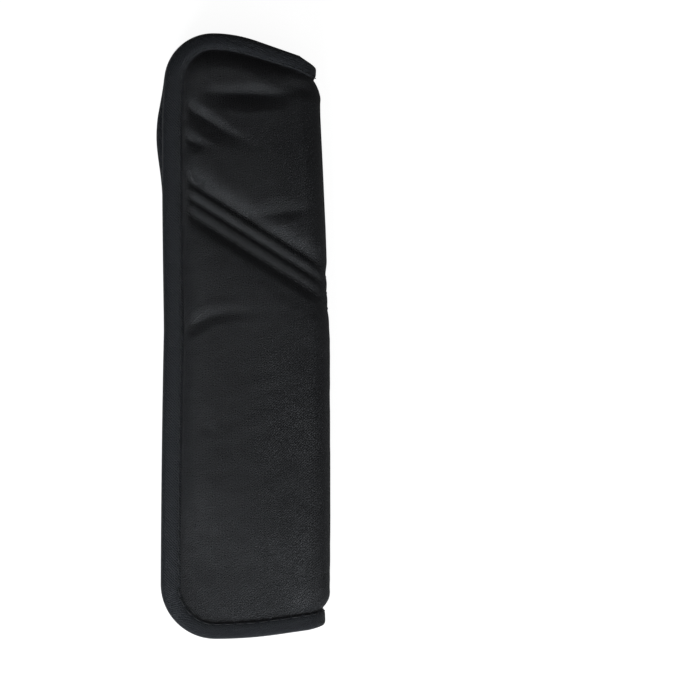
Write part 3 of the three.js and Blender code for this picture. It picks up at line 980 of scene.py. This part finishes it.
satinLook = {
    "dark": (0.0015, 0.0018, 0.0024), "light": (0.0145, 0.0155, 0.019),
    "pitch": 1.12, "grain": 0.5, "slant": -1.0,
    "unevenness": 0.9, "rough": 0.4, "roughRange": 0.12, "bump": 1.0, "bumpDepth": 0.27,
    "specular": 0.5, "sheen": 0.05,
}
tapeLook = {
    "dark": (0.0025, 0.004, 0.006), "light": (0.019, 0.0225, 0.030),
    "pitch": 1.15, "grain": 0.8, "slant": 1.0,
    "unevenness": 0.7, "rough": 0.48, "roughRange": 0.12, "bump": 1.0, "bumpDepth": 0.36,
    "specular": 0.45, "sheen": 0.15,
}
liningLook = {
    "dark": (0.006, 0.006, 0.007), "light": (0.013, 0.013, 0.014),
    "pitch": 0.9, "grain": 0.2, "slant": 0.0,
    "unevenness": 0.3, "rough": 0.7, "roughRange": 0.1, "bump": 0.6, "bumpDepth": 0.12,
    "specular": 0.3, "sheen": 0.1,
}
threadLook = {
    "dark": (0.01, 0.011, 0.012), "light": (0.03, 0.032, 0.034),
    "pitch": 0.4, "grain": 0.2, "slant": 1.0,
    "unevenness": 0.2, "rough": 0.5, "roughRange": 0.1, "bump": 0.4, "bumpDepth": 0.05,
    "specular": 0.4, "sheen": 0.1,
}
satin = clothMaterial("satinCover", satinLook)
tapeCloth = clothMaterial("bindingTape", tapeLook)
liningWeave = clothMaterial("liningWeave", liningLook)
threadCloth = clothMaterial("sewingThread", threadLook)
for piece, material in ((cover, satin), (edgeTape, tapeCloth), (liningCloth, liningWeave),
                        (foam, liningWeave), (hookTape, liningWeave), (loopTape, liningWeave),
                        (bindingThread, threadCloth), *((row, threadCloth) for row in seamRows)):
    piece.data.materials.append(material)
print("materials made")


# Studio

studio = {
    # Millimetres of the object in one pixel of the frame, and the frame's width in pixels
    "pixel": 0.41,
    "frame": 700,
    # Where the camera looks, counted from the panel's own zero
    "centerX": 43.3,
    "centerY": -5.84,
    "distance": 2400.0,
    "sensor": 36,
    "clipStart": 0.05,
    "worldLight": 0.07,
}
floorLook = {"size": 3.0, "drop": 0.0004, "grey": 0.35, "rough": 0.9, "glow": 0.93}


def makeCamera():
    data = bpy.data.cameras.new("camera")
    camera = bpy.data.objects.new("camera", data)
    bpy.context.collection.objects.link(camera)
    x = studio["centerX"] + middleX
    y = studio["centerY"] + middleY
    camera.location = (x * mm, y * mm, studio["distance"] * mm)
    data.sensor_width = studio["sensor"]
    span = studio["frame"] * studio["pixel"]
    data.lens = studio["sensor"] * (studio["distance"] - middleZ) / span
    data.clip_start = studio["clipStart"]
    bpy.context.scene.camera = camera


def makeFloor():
    size, low = floorLook["size"], -floorLook["drop"]
    corners = [(-size, -size, low), (size, -size, low), (size, size, low), (-size, size, low)]
    floor = meshPiece("floor", corners, [(0, 1, 2, 3)], False)
    material = bpy.data.materials.new("paleFloor")
    material.use_nodes = True
    tree = material.node_tree
    shader = tree.nodes["Principled BSDF"]
    shader.inputs["Base Color"].default_value = (*[floorLook["grey"]] * 3, 1)
    shader.inputs["Roughness"].default_value = floorLook["rough"]
    path = tree.nodes.new("ShaderNodeLightPath")
    glow = tree.nodes.new("ShaderNodeEmission")
    seen = mathNode(tree, "MULTIPLY", path.outputs["Is Camera Ray"], floorLook["glow"])
    tree.links.new(seen, glow.inputs["Strength"])
    add = tree.nodes.new("ShaderNodeAddShader")
    out = tree.nodes["Material Output"]
    tree.links.new(shader.outputs[0], add.inputs[0])
    tree.links.new(glow.outputs[0], add.inputs[1])
    tree.links.new(add.outputs[0], out.inputs["Surface"])
    floor.data.materials.append(material)


def areaLamp(name, place, target, size, power, color):
    data = bpy.data.lights.new(name, "AREA")
    data.shape = "RECTANGLE"
    data.size, data.size_y = size
    data.energy = power
    data.color = color
    lamp = bpy.data.objects.new(name, data)
    lamp.location = place
    lamp.rotation_euler = (Vector(target) - Vector(place)).to_track_quat("-Z", "Y").to_euler()
    bpy.context.collection.objects.link(lamp)


makeCamera()
makeFloor()
areaLamp("keyLamp", (-0.28, -0.72, 0.46), (0, -0.02, 0), (0.5, 0.3), 4.45, (0.9, 0.95, 1.0))
areaLamp("fillLamp", (0.3, -0.3, 0.16), (0.02, -0.1, 0.01), (0.3, 0.2), 0.3, (0.95, 0.98, 1.0))
areaLamp("topLamp", (0.05, -0.45, 1.2), (0, 0, 0), (1.2, 1.2), 2.4, (1, 1, 1))
world = bpy.data.worlds.new("studioWorld")
bpy.context.scene.world = world
world.use_nodes = True
world.node_tree.nodes["Background"].inputs["Color"].default_value = (1, 1, 1, 1)
world.node_tree.nodes["Background"].inputs["Strength"].default_value = studio["worldLight"]
bpy.context.scene.view_settings.view_transform = "Standard"
print("studio made")
